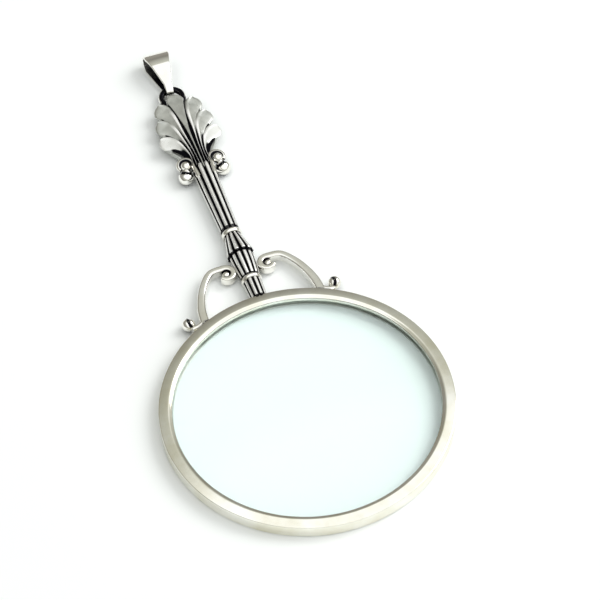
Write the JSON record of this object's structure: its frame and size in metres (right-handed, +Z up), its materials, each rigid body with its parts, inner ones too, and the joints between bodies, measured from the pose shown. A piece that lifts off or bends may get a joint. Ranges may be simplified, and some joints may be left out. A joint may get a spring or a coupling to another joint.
{
  "type": "pendant magnifying glass",
  "caption": "Silver pendant magnifying glass: round lens in a plain rim, reeded handle held by two scroll brackets, palmette leaf end, and a bail that swings on a loop.",
  "frame": {"origin": "middle of the outline seen from above, on the plane that the glass lies on", "axes": "+Y along the handle from the lens towards the bail, +Z up through the lens, +X across"},
  "size_m": [0.042, 0.0928, 0.0034],
  "materials": {
    "polished_silver": "polished",
    "oxidised_silver": "polished",
    "satin_silver": "satin",
    "clear_glass": "gloss"
  },
  "bodies": {
    "magnifier": {"bracket_foot_bead_left": "polished_silver", "bracket_foot_bead_right": "polished_silver", "bracket_scroll_bead_left": "polished_silver", "bracket_scroll_bead_right": "polished_silver", "core_pin": "polished_silver", "ferrule": "oxidised_silver", "hanging_loop": "polished_silver", "leaf_back_plate": "satin_silver", "lens": "clear_glass", "lens_retaining_ring": "polished_silver", "lower_baluster": "oxidised_silver", "lower_collar": "polished_silver", "palmette_leaf": "satin_silver", "rim": "polished_silver", "scroll_bracket_left": "polished_silver", "scroll_bracket_right": "polished_silver", "shaft": "oxidised_silver", "upper_baluster": "oxidised_silver", "upper_collar": "polished_silver", "volute_drop_bead_left": "polished_silver", "volute_drop_bead_right": "polished_silver", "volute_eye_bead_left": "polished_silver", "volute_eye_bead_right": "polished_silver", "volute_left": "polished_silver", "volute_right": "polished_silver"},
    "bail": {"bail": "polished_silver"}
  },
  "joints": [
    {"name": "bail_swing", "type": "hinge", "parent": "magnifier", "child": "bail", "pos_m": [0, 0.03913, 0.00118], "axis": [1, 0, 0], "range_deg": [-130, 105]}
  ]
}
